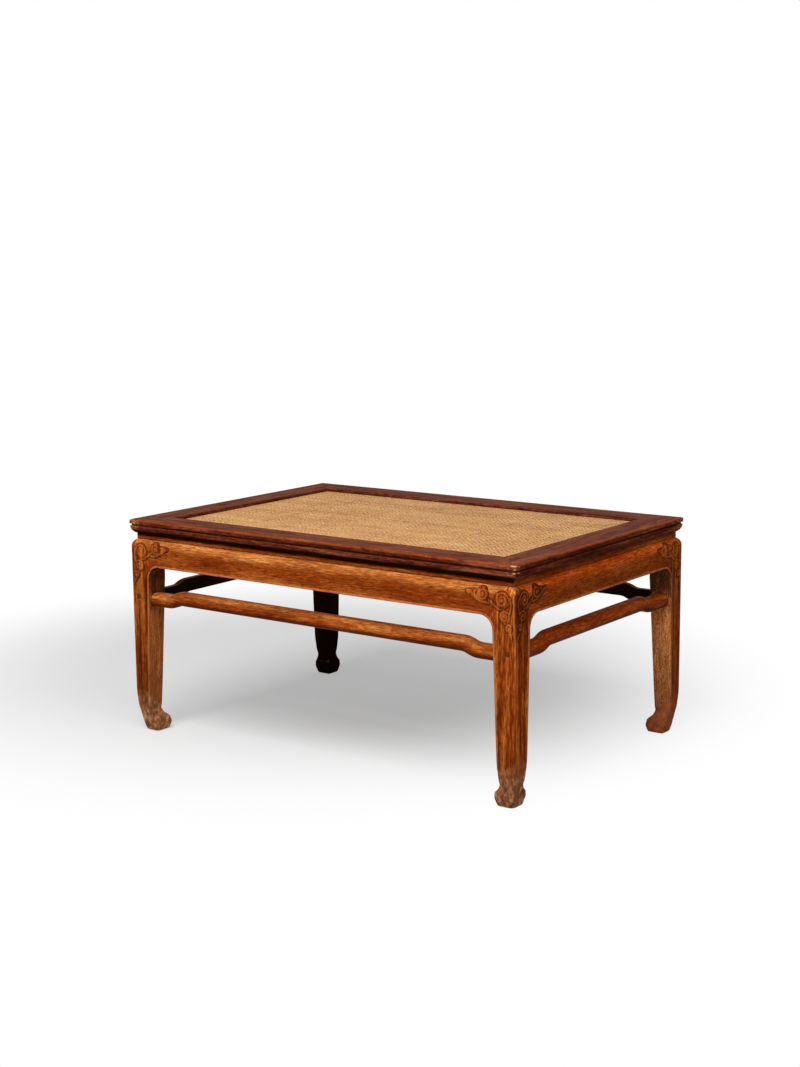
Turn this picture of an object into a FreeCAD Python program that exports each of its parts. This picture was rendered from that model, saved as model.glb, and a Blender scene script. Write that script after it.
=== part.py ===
import FreeCAD
import Part
import math
import os

# Low rectangular meditation stool: a joined hardwood frame with a woven cane seat.
# Millimetres. X runs along the seat, Y across it, Z up; the origin is on the floor under the seat's middle.

# Overall size
seat_length = 1050.0
seat_depth = 710.0
seat_height = 500.0

# Clearances: in a glued joint, and round a loosely laid panel
joint_gap = 0.1
panel_gap = 0.3

# Seat frame rails and their moulded edge
rail_width = 74.0
rail_thickness = 31.5
lip_height = 10.0
lip_round = 3.0
quirk_height = 5.0
quirk_depth = 3.5
ovolo_inset = 1.0
rail_foot_inset = 10.0

# Mitre tenons of the long rails, and the pins that lock them
mitre_tenon_thickness = 9.0
mitre_tenon_rise = 10.5
mitre_tenon_from = 24.0
mitre_tenon_to = 62.0
mitre_tenon_shoulder = 16.0
pin_diameter = 6.0
pin_from_side = 40.0
pin_from_end = 57.0

# Mat, its press strips, and the rope web below it
strip_width = 10.0
strip_thickness = 7.0
strip_round = 2.5
mat_thickness = 3.0
mat_sag = 5.0
mat_stations = 13
web_thickness = 3.5
web_rope = 9.0
web_columns = 18
web_rows = 12

# Bowed braces under the web
brace_width = 28.0
brace_depth = 20.0
brace_bow = 8.0
brace_offset = 160.0
brace_tenon_width = 14.0
brace_tenon_height = 8.0
brace_tenon_length = 14.0
brace_tenon_drop = 2.0

# Waist, with a tongue above and below
waist_height = 14.0
waist_inset = 12.0
waist_thickness = 14.0
tongue_inset = 4.0
tongue_thickness = 4.0
tongue_height = 4.0

# Apron
apron_height = 60.5
apron_inset = 1.6
shoulder_drop = 17.0
corner_radius = 30.0
bead_width = 4.2
bead_height = 1.3

# Dovetail keys behind the aprons
key_width = 14.0
key_spread = 2.0
key_depth = 6.0
key_rise = 8.0
key_foot_margin = 12.0
key_spacing = 520.0

# Legs: width at the top, taper of the inner faces, lean of the outer faces, the hoof, and its round corners
leg_width = 53.0
leg_taper = 11.5
arris_ease = 1.2
lean_start = 110.0
foot_inset = 11.5
foot_round = 4.0
ankle_height = 54.0
toe_reach = 15.0
toe_top = 32.0
toe_crest = 3.0
toe_round = 8.0
toe_low = 10.0
toe_tuck = 4.0
hoof_radius = 32.0
hoof_level = 16.0
hoof_blend = 76.0
sole_radius = 25.5

# Leg joints: tenons up into the rails, and the tongue into each apron
leg_tenon_width = 8.0
leg_tenon_length = 10.0
leg_tenon_rise = 9.0
leg_tenon_margin = 2.0
apron_tongue_setback = 8.0
apron_tongue_thickness = 8.0
apron_tongue_length = 13.0
apron_tongue_margin = 12.0

# Humpback stretchers, the clear drop from the aprons to them, how far from the legs their humps start,
# and their stepped through tenons
stretcher_height = 31.0
stretcher_depth = 28.0
stretcher_inset = 5.0
stretcher_drop = 55.0
hump_rise = 10.0
hump_run = 44.0
long_hump_start = 43.0
short_hump_start = 60.0
tenon_thickness = 12.0
tenon_margin = 3.0
tenon_depth = 16.0
tenon_split = 3.0

# Levels and lines that follow from the sizes above
half_length = seat_length / 2
half_depth = seat_depth / 2
rail_bottom = seat_height - rail_thickness
apron_top = rail_bottom - waist_height
apron_bottom = apron_top - apron_height
apron_back = waist_inset + waist_thickness
leg_inner = apron_inset + leg_width
ankle_inner = leg_inner - leg_taper
corner_level = apron_bottom - corner_radius
strip_line = rail_width - strip_width
mat_top = seat_height - strip_thickness
mat_bed = mat_top - mat_thickness - 2 * joint_gap
web_top = mat_bed - mat_sag - panel_gap
brace_top = web_top - web_thickness - panel_gap
tongue_line = waist_inset + tongue_inset
tongue_stop = leg_inner + apron_tongue_length
stretcher_line = apron_inset + stretcher_inset
stretcher_low = apron_bottom - stretcher_drop - hump_rise - stretcher_height
reach = seat_length + seat_depth

X_AXIS = FreeCAD.Vector(1, 0, 0)
Y_AXIS = FreeCAD.Vector(0, 1, 0)
Z_AXIS = FreeCAD.Vector(0, 0, 1)
ORIGIN = FreeCAD.Vector(0, 0, 0)
UP = (0, 1)
DOWN = (0, -1)
LEFT = (-1, 0)
RIGHT = (1, 0)

# A side piece is drawn in a side frame: its lip lies on the X axis and v runs inward from the lip.
# A leg, or the end of a side piece, is drawn in a corner frame: u and v run inward from the two lips.


def in_front(u, z):
    """Point of the front view: u along the side, z up."""
    return FreeCAD.Vector(u, 0, z)


def in_section(v, z):
    """Point of the cross-section of a side: v inward from the lip, z up."""
    return FreeCAD.Vector(0, v, z)


def in_plan(u, v):
    """Point of the plan."""
    return FreeCAD.Vector(u, v, 0)


def edges_from(plane, outline):
    """Edges along an outline: a point is reached by a straight edge, a pair of points by an arc."""
    edges = []
    here = outline[0]
    for step in outline[1:]:
        if isinstance(step[0], tuple):
            through, end = step
            edges.append(Part.Arc(plane(*here), plane(*through), plane(*end)).toShape())
        else:
            end = step
            edges.append(Part.LineSegment(plane(*here), plane(*end)).toShape())
        here = end
    return edges


def prism(plane, outline, start, end):
    """Solid on a closed outline, between two levels along the normal of its plane."""
    normal = {in_front: Y_AXIS, in_section: X_AXIS, in_plan: Z_AXIS}[plane]
    face = Part.Face(Part.Wire(edges_from(plane, outline + outline[:1])))
    face.translate(normal * start)
    return face.extrude(normal * (end - start))


def block(x_range, y_range, z_range, slack=0.0):
    """Box between three pairs of limits, larger by the slack all round."""
    low = [pair[0] - slack for pair in (x_range, y_range, z_range)]
    size = [pair[1] - pair[0] + 2 * slack for pair in (x_range, y_range, z_range)]
    return Part.makeBox(*size, FreeCAD.Vector(*low))


def tangent_arc(start, heading, end):
    """Arc that leaves its start along a heading: the pair of its middle point and its end."""
    chord = (end[0] - start[0], end[1] - start[1])
    cross = heading[0] * chord[1] - heading[1] * chord[0]
    along = heading[0] * chord[0] + heading[1] * chord[1]
    bulge = math.tan(math.atan2(cross, along) / 2) / 2
    middle = ((start[0] + end[0]) / 2 + chord[1] * bulge, (start[1] + end[1]) / 2 - chord[0] * bulge)
    return middle, end


def arc_into(start, end, heading):
    """Arc that arrives at its end against a heading: the pair of its middle point and its end."""
    middle, _ = tangent_arc(end, heading, start)
    return middle, end


def heading_after(start, heading, end):
    """Direction in which a tangent arc arrives at its end."""
    turn = 2 * math.atan2(end[1] - start[1], end[0] - start[0]) - math.atan2(heading[1], heading[0])
    return math.cos(turn), math.sin(turn)


def one_solid(shape):
    """The solid of a boolean result, with its split faces merged."""
    return shape.removeSplitter().Solids[0]


def swapped(shape):
    """Mirror across the diagonal of a corner frame, which swaps the two sides that meet there."""
    return shape.mirror(ORIGIN, FreeCAD.Vector(1, -1, 0))


def at_both_ends(shape, half_run):
    """A shape of the corner frame, set at the left end of a side and mirrored to its right end."""
    left = shape.translated(X_AXIS * -half_run)
    return [left, left.mirror(ORIGIN, X_AXIS)]


def placed(shape, side):
    """A piece of the side frame, set at its side of the seat."""
    turn = {"front": 0, "right": 90, "back": 180, "left": 270}[side]
    out = half_depth if side in ("front", "back") else half_length
    moved = shape.translated(Y_AXIS * -out)
    moved.rotate(ORIGIN, Z_AXIS, turn)
    return moved


def mitred(shape, half_run):
    """Trim a piece of the side frame at the two 45 degree mitre planes of the seat."""
    plan = [(-half_run, 0), (half_run, 0), (0, half_run)]
    return shape.common(prism(in_plan, plan, 0, seat_height))


# Loose keys and pins, and the tenons; with a slack, each is also the cutter of its own mortise


def key_places(is_long):
    """Where the keys stand along a side: a pair on a long side, one in the middle of a short side."""
    return [-key_spacing / 2, key_spacing / 2] if is_long else [0.0]


def apron_key(place, slack=0.0):
    """Dovetail key let into the back of apron and waist, with its head in the rail."""
    wide = key_width / 2 + key_spread + slack
    narrow = key_width / 2 + slack
    front = apron_back - key_depth - slack
    back = apron_back + slack
    plan = [(place - wide, front), (place + wide, front), (place + narrow, back), (place - narrow, back)]
    return prism(in_plan, plan, apron_bottom + key_foot_margin - slack, rail_bottom + key_rise + slack)


def mitre_tenon(slack=0.0):
    """Tenon of a long rail, in the corner frame, that crosses the mitre into the short rail."""
    level = rail_bottom + mitre_tenon_rise
    levels = (level, level + mitre_tenon_thickness)
    return block((mitre_tenon_shoulder, rail_width), (mitre_tenon_from, mitre_tenon_to), levels, slack)


def corner_pin(slack=0.0):
    """Pin driven up through the short rail and the mitre tenon in it, in the long rail's corner frame."""
    length = mitre_tenon_rise + mitre_tenon_thickness + slack
    foot = FreeCAD.Vector(pin_from_side, pin_from_end, rail_bottom)
    return Part.makeCylinder(pin_diameter / 2 + slack, length, foot)


def leg_tenon(slack=0.0):
    """Tenon on top of a leg, in the corner frame, for the rail along u."""
    front = apron_back + leg_tenon_margin
    across = (front, front + leg_tenon_width)
    along = (leg_inner - leg_tenon_length, leg_inner)
    return block(along, across, (rail_bottom, rail_bottom + leg_tenon_rise), slack)


def leg_tongue(slack=0.0):
    """Tongue on a leg's mitred shoulder, in the corner frame, that enters the end of the apron along u."""
    front = apron_inset + apron_tongue_setback
    across = (front, front + apron_tongue_thickness)
    levels = (apron_bottom + apron_tongue_margin, apron_top - shoulder_drop)
    return block((apron_back, tongue_stop), across, levels, slack)


def brace_tenon(slack=0.0):
    """Tenon at the front end of a brace, in the side frame, reaching into the long rail."""
    top = brace_top - brace_tenon_drop
    across = (-brace_tenon_width / 2, brace_tenon_width / 2)
    along = (rail_width - brace_tenon_length, rail_width + brace_tenon_length)
    return block(across, along, (top - brace_tenon_height, top), slack)


def stretcher_tenon(is_long, slack=0.0):
    """Stepped tenon: a full-height root in the leg, and one half of it that comes out flush outside.

    The lower half passes on the long sides and the upper half on the short ones, so that the two cross.
    """
    middle = stretcher_line + stretcher_depth / 2
    across = (middle - tenon_thickness / 2, middle + tenon_thickness / 2)
    low = stretcher_low + tenon_margin
    high = stretcher_low + stretcher_height - tenon_margin
    halfway = (low + high) / 2
    half = (low, halfway - tenon_split / 2) if is_long else (halfway + tenon_split / 2, high)
    root = block((leg_inner - tenon_depth, leg_inner + tenon_margin), across, (low, high), slack)
    return root.fuse(block((apron_inset, leg_inner), across, half, slack))


# Seat frame


def rail_profile():
    """Moulded section: rounded lip, quirk, ovolo, flat underside, and the rabbet for mat and strip."""
    lip_end = seat_height - lip_height
    lip_top = (lip_round, seat_height)
    ovolo_top = (ovolo_inset, lip_end - quirk_height)
    return [
        (strip_line, seat_height),
        lip_top,
        tangent_arc(lip_top, LEFT, (0, seat_height - lip_round)),
        (0, lip_end),
        (quirk_depth, lip_end),
        (quirk_depth, ovolo_top[1]),
        ovolo_top,
        tangent_arc(ovolo_top, DOWN, (rail_foot_inset, rail_bottom)),
        (rail_width, rail_bottom),
        (rail_width, mat_bed),
        (strip_line, mat_bed),
    ]


def seat_rail(half_run, is_long):
    """Mitred rail: tenons on the long ones, their mortises in the short ones, and every other mortise."""
    rail = mitred(prism(in_section, rail_profile(), -half_run, half_run), half_run)
    tongue_end = half_run - tongue_line
    tongue_across = (tongue_line, tongue_line + tongue_thickness)
    tongue_levels = (rail_bottom, rail_bottom + tongue_height)
    cuts = [block((-tongue_end, tongue_end), tongue_across, tongue_levels, joint_gap)]
    cuts += [apron_key(place, joint_gap) for place in key_places(is_long)]
    cuts += at_both_ends(leg_tenon(joint_gap), half_run)
    if is_long:
        for tenon in at_both_ends(mitre_tenon(), half_run):
            rail = rail.fuse(tenon)
        cuts += at_both_ends(corner_pin(joint_gap), half_run)
        for place in (-brace_offset, brace_offset):
            cuts.append(brace_tenon(joint_gap).translated(X_AXIS * place))
    else:
        cuts += at_both_ends(swapped(mitre_tenon(joint_gap)), half_run)
        cuts += at_both_ends(swapped(corner_pin(joint_gap)), half_run)
    return one_solid(rail.cut(cuts))


def mat_strip(half_run):
    """Strip in the rabbet that presses the mat's edge, rounded along its inner edge."""
    outer = strip_line + joint_gap
    edge = (rail_width, seat_height - strip_round)
    outline = [
        (outer, mat_top),
        (rail_width, mat_top),
        edge,
        tangent_arc(edge, UP, (rail_width - strip_round, seat_height)),
        (outer, seat_height),
    ]
    return one_solid(mitred(prism(in_section, outline, -half_run, half_run), half_run))


def cane_mat():
    """Woven mat as one sheet that lies flat under the strips and sags towards its middle."""
    reach_x = half_length - strip_line - panel_gap
    reach_y = half_depth - strip_line - panel_gap
    stations = [2 * i / (mat_stations - 1) - 1 for i in range(mat_stations)]
    level = mat_bed + joint_gap
    grid = [[FreeCAD.Vector(a * reach_x, b * reach_y, level - mat_sag * ((1 - a * a) * (1 - b * b)) ** 2)
             for b in stations] for a in stations]
    surface = Part.BSplineSurface()
    surface.interpolate(grid)
    return surface.toShape().extrude(Z_AXIS * mat_thickness)


def palm_rope_web():
    """Net of palm rope between the rails: one plate with a hole between each pair of ropes."""
    half_x = half_length - rail_width - joint_gap
    half_y = half_depth - rail_width - joint_gap
    pitch_x = (2 * half_x - web_rope) / web_columns
    pitch_y = (2 * half_y - web_rope) / web_rows
    wires = [Part.makePolygon([in_plan(*p) for p in rectangle(-half_x, -half_y, half_x, half_y)])]
    for column in range(web_columns):
        for row in range(web_rows):
            left = -half_x + web_rope + column * pitch_x
            front = -half_y + web_rope + row * pitch_y
            hole = rectangle(left, front, left + pitch_x - web_rope, front + pitch_y - web_rope)
            wires.append(Part.makePolygon([in_plan(*p) for p in hole]))
    net = Part.Face(wires, "Part::FaceMakerBullseye")
    net.translate(Z_AXIS * (web_top - web_thickness))
    return net.extrude(Z_AXIS * web_thickness)


def rectangle(left, front, right, back):
    """Closed run of a rectangle's corners."""
    return [(left, front), (right, front), (right, back), (left, back), (left, front)]


def mat_brace():
    """Bowed cross brace under the web, tenoned into both long rails."""
    half_span = half_depth - rail_width - joint_gap
    low = brace_top - brace_depth
    outline = [
        (-half_span, low),
        (-half_span, brace_top),
        ((0, brace_top - brace_bow), (half_span, brace_top)),
        (half_span, low),
        ((0, low - brace_bow), (-half_span, low)),
    ]
    side_view = Part.Face(Part.Wire(edges_from(in_section, outline)))
    side_view.translate(X_AXIS * (-brace_width / 2))
    brace = side_view.extrude(X_AXIS * brace_width)
    for side in ("front", "back"):
        brace = brace.fuse(placed(brace_tenon(), side))
    return one_solid(brace)


# Waist and apron


def waist(half_run, is_long):
    """Recessed strip, tongued into the rail above and the apron below, and let over the keys."""
    body = block((-half_run, half_run), (waist_inset, apron_back), (apron_top, rail_bottom))
    tongue_across = (tongue_line, tongue_line + tongue_thickness)
    tongue_levels = (apron_top - tongue_height, rail_bottom + tongue_height)
    tongue = block((-half_run, half_run), tongue_across, tongue_levels)
    cuts = at_both_ends(block((0, tongue_stop), (0, apron_back), (0, apron_top)), half_run)
    cuts += [apron_key(place, joint_gap) for place in key_places(is_long)]
    return one_solid(mitred(body.fuse(tongue), half_run).cut(cuts))


def shoulder():
    """The round by which apron and leg fall back to the waist, from the waist down to the face."""
    top = (waist_inset, apron_top)
    return [top, arc_into(top, (apron_inset, apron_top - shoulder_drop), UP)]


def bend(radius):
    """Middle and top of the round inner corner between leg and apron, on a circle of the given radius."""
    centre = leg_inner + corner_radius
    drift = radius * math.sqrt(0.5)
    return (centre - drift, corner_level + drift), (centre, corner_level + radius)


def mitre_side(over_apron):
    """Half of the front view on one side of the mitre, which runs from the round corner to the waist."""
    foot, _ = bend(corner_radius)
    head = (apron_back, apron_top)
    length = math.dist(foot, head)
    along = ((foot[0] - head[0]) / length * reach, (foot[1] - head[1]) / length * reach)
    aside = (-along[1], along[0]) if over_apron else (along[1], -along[0])
    low = (head[0] + along[0], head[1] + along[1])
    high = (head[0] - along[0], head[1] - along[1])
    return [low, high, (high[0] + aside[0], high[1] + aside[1]), (low[0] + aside[0], low[1] + aside[1])]


def corner_ear():
    """Web with the round inner corner, as thick as the apron, that leg and apron share at the mitre."""
    middle, top = bend(corner_radius)
    outline = [
        (ankle_inner, corner_level),
        (leg_inner, corner_level),
        (middle, top),
        (top[0], apron_top - shoulder_drop),
        (ankle_inner, apron_top - shoulder_drop),
    ]
    return prism(in_front, outline, apron_inset, apron_back)


def bead_band(run):
    """Band of the front view along the lower edge of the apron, round the corner and down the leg."""
    inner_middle, inner_top = bend(corner_radius)
    outer_middle, outer_top = bend(corner_radius + bead_width)
    return [
        (ankle_inner, ankle_height),
        (leg_inner, corner_level),
        (inner_middle, inner_top),
        (run, inner_top[1]),
        (run, outer_top[1]),
        outer_top,
        (outer_middle, (leg_inner - bead_width, corner_level)),
        (ankle_inner - bead_width, ankle_height),
    ]


def apron(half_run, is_long):
    """Rounded apron with its half of the corner ears, a bead, mitred ends, and grooves for its joints."""
    back_of_apron = [(apron_inset, apron_bottom), (apron_back, apron_bottom), (apron_back, apron_top)]
    body = prism(in_section, shoulder() + back_of_apron, -half_run, half_run)
    bead = prism(in_front, bead_band(half_run), apron_inset - bead_height, apron_inset + bead_height)
    additions = at_both_ends(corner_ear(), half_run) + at_both_ends(bead, half_run)
    tongue_end = half_run - tongue_stop
    tongue_across = (tongue_line, tongue_line + tongue_thickness)
    tongue_levels = (apron_top - tongue_height, apron_top)
    cuts = at_both_ends(prism(in_front, mitre_side(False), -apron_back, 2 * apron_back), half_run)
    cuts += at_both_ends(leg_tongue(joint_gap), half_run)
    cuts += [apron_key(place, joint_gap) for place in key_places(is_long)]
    cuts.append(block((-tongue_end, tongue_end), tongue_across, tongue_levels, joint_gap))
    return one_solid(body.fuse(additions).cut(cuts))


# Legs and stretchers


def leg_outline():
    """Outline of a leg on either outer face, from the waist down the outer edge and up the inner edge."""
    face = apron_inset
    lean_from = (face, lean_start)
    heel = (face + foot_inset, foot_round)
    heel_heading = heading_after(lean_from, DOWN, heel)
    toe = ankle_inner + toe_reach
    toe_front = (toe, toe_top - toe_round)
    crest = (toe - toe_crest, toe_top)
    ankle = (ankle_inner, ankle_height)
    return shoulder() + [
        lean_from,
        tangent_arc(lean_from, DOWN, heel),
        tangent_arc(heel, heel_heading, (heel[0] + foot_round, 0)),
        (toe - toe_tuck, 0),
        arc_into((toe - toe_tuck, 0), (toe, toe_low), DOWN),
        toe_front,
        tangent_arc(toe_front, UP, crest),
        arc_into(crest, ankle, DOWN),
        (leg_inner, corner_level),
        (leg_inner, apron_top),
    ]


def outer_arris(blank):
    """Edges of a leg blank along the corner that faces outward."""
    heel = apron_inset + foot_inset + foot_round + joint_gap
    return [edge for edge in blank.Edges
            if all(abs(end.X - end.Y) < joint_gap and end.X < heel for end in edge.Vertexes)]


def hoof_corners():
    """What the carver takes off the corners of a hoof, down to a turned shape that swells over the sole."""
    middle = (apron_inset + foot_inset + ankle_inner + toe_reach) / 2
    arris = (math.sqrt(2) * (middle - apron_inset), hoof_blend)
    outline = [(0, 0), (sole_radius, 0), (hoof_radius, hoof_level), arris, (0, hoof_blend), (0, 0)]
    turned = Part.Face(Part.Wire(edges_from(in_front, outline))).revolve(ORIGIN, Z_AXIS)
    turned.translate(FreeCAD.Vector(middle, middle, 0))
    return block((0, 2 * middle), (0, 2 * middle), (0, hoof_blend)).cut(turned)


def leg():
    """Leg sawn to one outline from two faces, with ears, beads, mitred shoulders, tongues and tenons."""
    front_sawn = prism(in_front, leg_outline(), 0, reach)
    side_sawn = prism(in_section, leg_outline(), 0, reach)
    blank = one_solid(front_sawn.common(side_sawn))
    blank = blank.makeChamfer(arris_ease, outer_arris(blank)).cut(hoof_corners())
    proud = side_sawn.translated(Y_AXIS * -bead_height)
    band = bead_band(leg_inner + 2 * corner_radius)
    bead = prism(in_front, band, -bead_height, apron_back).common(proud)
    apron_space = prism(in_front, mitre_side(True), -apron_back, apron_back)
    neck_across = (apron_back + joint_gap, leg_inner)
    neck = block(neck_across, neck_across, (corner_level, rail_bottom))
    body = blank.fuse([corner_ear(), swapped(corner_ear()), bead, swapped(bead)])
    body = body.cut([apron_space, swapped(apron_space)])
    body = body.fuse([neck, leg_tenon(), swapped(leg_tenon()), leg_tongue(), swapped(leg_tongue())])
    mortises = [stretcher_tenon(True, joint_gap), swapped(stretcher_tenon(False, joint_gap))]
    return one_solid(body.cut(mortises))


def stretcher(half_run, is_long):
    """Humpback rail of D section, seated on the tapered legs, with a stepped tenon at each end."""
    low = stretcher_low
    high = low + stretcher_height
    middle = (low + high) / 2
    outer = stretcher_line
    inner = outer + stretcher_depth
    round_from = outer + stretcher_height / 2
    section = [
        (inner, low),
        (inner, high),
        (round_from, high),
        ((outer, middle), (round_from, low)),
        (inner, low),
    ]
    hump_start = long_hump_start if is_long else short_hump_start
    start = (leg_inner - tenon_depth - half_run, middle)
    rise_from = (leg_inner + hump_start - half_run, middle)
    halfway = (rise_from[0] + hump_run / 2, middle + hump_rise / 2)
    rise_to = (rise_from[0] + hump_run, middle + hump_rise)
    path = [
        start,
        rise_from,
        tangent_arc(rise_from, RIGHT, halfway),
        arc_into(halfway, rise_to, LEFT),
        (-rise_to[0], rise_to[1]),
        tangent_arc((-rise_to[0], rise_to[1]), RIGHT, (-halfway[0], halfway[1])),
        arc_into((-halfway[0], halfway[1]), (-rise_from[0], middle), LEFT),
        (-start[0], middle),
    ]
    spine = Part.Wire(edges_from(in_front, path))
    spine.translate(Y_AXIS * outer)
    wire = Part.Wire(edges_from(in_section, section))
    wire.translate(X_AXIS * start[0])
    bar = spine.makePipeShell([wire], True, False)
    bar = bar.cut(at_both_ends(prism(in_front, leg_outline(), 0, reach), half_run))
    return one_solid(bar.fuse(at_both_ends(stretcher_tenon(is_long), half_run)))


def mirrored_to(shape, flip_x, flip_y):
    """A piece of the front left corner, mirrored to another corner."""
    if flip_x:
        shape = shape.mirror(ORIGIN, X_AXIS)
    if flip_y:
        shape = shape.mirror(ORIGIN, Y_AXIS)
    return shape


def all_nodes():
    """Every piece of the stool under its name."""
    nodes = {"cane_mat": cane_mat(), "palm_rope_web": palm_rope_web()}
    keys = []
    pins = []
    runs = ((("front", "back"), half_length, True), (("left", "right"), half_depth, False))
    for sides, half_run, is_long in runs:
        pieces = {
            "seat_rail": seat_rail(half_run, is_long),
            "mat_strip": mat_strip(half_run),
            "waist": waist(half_run, is_long),
            "apron": apron(half_run, is_long),
            "stretcher": stretcher(half_run, is_long),
        }
        for side in sides:
            for name, shape in pieces.items():
                nodes[f"{name}_{side}"] = placed(shape, side)
            keys += [placed(apron_key(place), side) for place in key_places(is_long)]
    brace = mat_brace()
    nodes["mat_brace_left"] = brace.translated(X_AXIS * -brace_offset)
    nodes["mat_brace_right"] = brace.translated(X_AXIS * brace_offset)
    corner = FreeCAD.Vector(-half_length, -half_depth, 0)
    front_left_leg = leg().translated(corner)
    front_left_pin = corner_pin().translated(corner)
    for row, flip_y in (("front", False), ("back", True)):
        for column, flip_x in (("left", False), ("right", True)):
            nodes[f"leg_{row}_{column}"] = mirrored_to(front_left_leg, flip_x, flip_y)
            pins.append(mirrored_to(front_left_pin, flip_x, flip_y))
    nodes["apron_keys"] = Part.makeCompound(keys)
    nodes["frame_corner_pins"] = Part.makeCompound(pins)
    return nodes


os.makedirs("parts", exist_ok=True)
for node, shape in all_nodes().items():
    shape.exportStep(f"parts/{node}.step")
    box = shape.BoundBox
    print(f"{node}: {len(shape.Solids)} solid, valid {shape.isValid()}, volume {shape.Volume:.0f} mm3, "
          f"size {box.XLength:.1f} x {box.YLength:.1f} x {box.ZLength:.1f}")
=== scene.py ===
# %% [markdown]
# # A low meditation stool in polished hardwood and cane
#
# One sits cross-legged on this wide, low seat. Its joinery (rails, waist, aprons, legs and stretchers) is
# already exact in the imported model, so this lesson dresses it. It gives each timber a finish, rounds the
# worn feet, weaves the cane mat, strings the rope net that carries the mat, and carves the cloud scrolls at
# the corners.

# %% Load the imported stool
import math
import bmesh
import bpy
import numpy as np
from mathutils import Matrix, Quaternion, Vector
from mathutils.bvhtree import BVHTree


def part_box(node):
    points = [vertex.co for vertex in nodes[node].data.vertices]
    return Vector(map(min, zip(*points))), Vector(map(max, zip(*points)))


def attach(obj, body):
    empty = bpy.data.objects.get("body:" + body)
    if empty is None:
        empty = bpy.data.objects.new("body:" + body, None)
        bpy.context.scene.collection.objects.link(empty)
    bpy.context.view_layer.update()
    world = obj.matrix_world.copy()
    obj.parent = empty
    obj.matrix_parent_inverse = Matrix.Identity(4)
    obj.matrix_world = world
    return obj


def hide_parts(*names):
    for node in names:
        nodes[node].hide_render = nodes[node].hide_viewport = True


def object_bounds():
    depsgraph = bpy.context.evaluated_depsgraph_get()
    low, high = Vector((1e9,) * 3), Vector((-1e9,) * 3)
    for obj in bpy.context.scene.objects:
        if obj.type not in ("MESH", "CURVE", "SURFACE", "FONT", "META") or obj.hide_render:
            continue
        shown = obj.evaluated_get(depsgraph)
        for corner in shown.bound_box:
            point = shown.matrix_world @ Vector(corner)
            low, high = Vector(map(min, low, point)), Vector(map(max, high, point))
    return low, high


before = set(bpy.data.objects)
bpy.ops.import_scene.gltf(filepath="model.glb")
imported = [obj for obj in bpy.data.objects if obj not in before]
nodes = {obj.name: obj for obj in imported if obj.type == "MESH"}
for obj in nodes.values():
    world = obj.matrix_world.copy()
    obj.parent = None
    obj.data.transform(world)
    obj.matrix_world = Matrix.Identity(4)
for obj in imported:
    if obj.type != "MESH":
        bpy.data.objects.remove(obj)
cad_low, cad_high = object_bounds()
print("pieces of joinery:", len(nodes), "box:", [round(x, 3) for x in (*cad_low, *cad_high)])

# %% [markdown]
# ## The viewpoint
#
# The photograph shows the stool from a little above, turned so that its near corner points at us. The
# camera could be placed by eye, but a corner that is off by a few pixels makes every later comparison
# doubtful. So its angles and distance come from fitting the stool's known corners to the picture.

# %% Camera
PHOTO_LONG_SIDE = 1067.0  # pixels
FOCAL_LENGTH = 1692.35  # pixels of that photograph
SENSOR_SIZE = 36.0  # millimetres, along the long side
CAMERA_AZIMUTH = math.radians(36.294)
CAMERA_ELEVATION = math.radians(9.695)
CAMERA_ROLL = math.radians(-0.55)
CAMERA_DISTANCE = 3.912
CAMERA_AIM = Vector((-0.0298, 0.0223, 0.4582))


def put_in_scene(thing):
    """Show a new object in the scene."""
    bpy.context.scene.collection.objects.link(thing)


def stand_camera():
    """A camera at the fitted angles, looking at the aim point."""
    level = math.cos(CAMERA_ELEVATION)
    back = Vector((math.sin(CAMERA_AZIMUTH) * level,
                   -math.cos(CAMERA_AZIMUTH) * level,
                   math.sin(CAMERA_ELEVATION)))
    camera = bpy.data.objects.new("camera", bpy.data.cameras.new("camera"))
    camera.data.sensor_width = SENSOR_SIZE
    camera.data.lens = FOCAL_LENGTH * SENSOR_SIZE / PHOTO_LONG_SIDE
    camera.location = CAMERA_AIM + back * CAMERA_DISTANCE
    camera.rotation_mode = "QUATERNION"
    camera.rotation_quaternion = back.to_track_quat("Z", "Y") @ Quaternion((0, 0, 1), CAMERA_ROLL)
    put_in_scene(camera)
    return camera


bpy.context.scene.camera = stand_camera()
bpy.context.scene.view_settings.view_transform = "Standard"
print("camera at", [round(x, 3) for x in bpy.context.scene.camera.location])

# %% [markdown]
# ## Building finishes from nodes
#
# A finish here is a chain of small decisions: where on the plank we are, how dark the fibre is, how worn
# the edge. Wiring each node by hand takes many lines, so a few helpers do it: they add a node and plug its
# inputs in, do sums, turn a number into a colour, lay one colour over another, or make noise.

# %% Nodes and numbers
def add(tree, kind, inputs=None, **settings):
    """Add a node; an input is either another node's output or a plain value."""
    node = tree.nodes.new("ShaderNode" + kind)
    for setting, value in settings.items():
        setattr(node, setting, value)
    for socket, value in (inputs or {}).items():
        if isinstance(value, bpy.types.NodeSocket):
            tree.links.new(value, node.inputs[socket])
        else:
            node.inputs[socket].default_value = value
    return node


def add_on(kind, inputs, **settings):
    """Add a node to the tree that its inputs come from."""
    outputs = [value for value in inputs.values() if isinstance(value, bpy.types.NodeSocket)]
    return add(outputs[0].id_data, kind, inputs, **settings)


def new_finish(name):
    """An empty material, its node tree, and the place of each point in metres."""
    finish = bpy.data.materials.new(name)
    finish.use_nodes = True
    finish.node_tree.nodes.clear()
    return finish, finish.node_tree, add(finish.node_tree, "TexCoord").outputs["Object"]


def sum_of(operation, *values):
    """One step of arithmetic on numbers."""
    return add_on("Math", dict(enumerate(values)), operation=operation).outputs[0]


def vector_sum(operation, *values, output=0):
    """One step of arithmetic on places or directions."""
    return add_on("VectorMath", dict(enumerate(values)), operation=operation).outputs[output]


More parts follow.
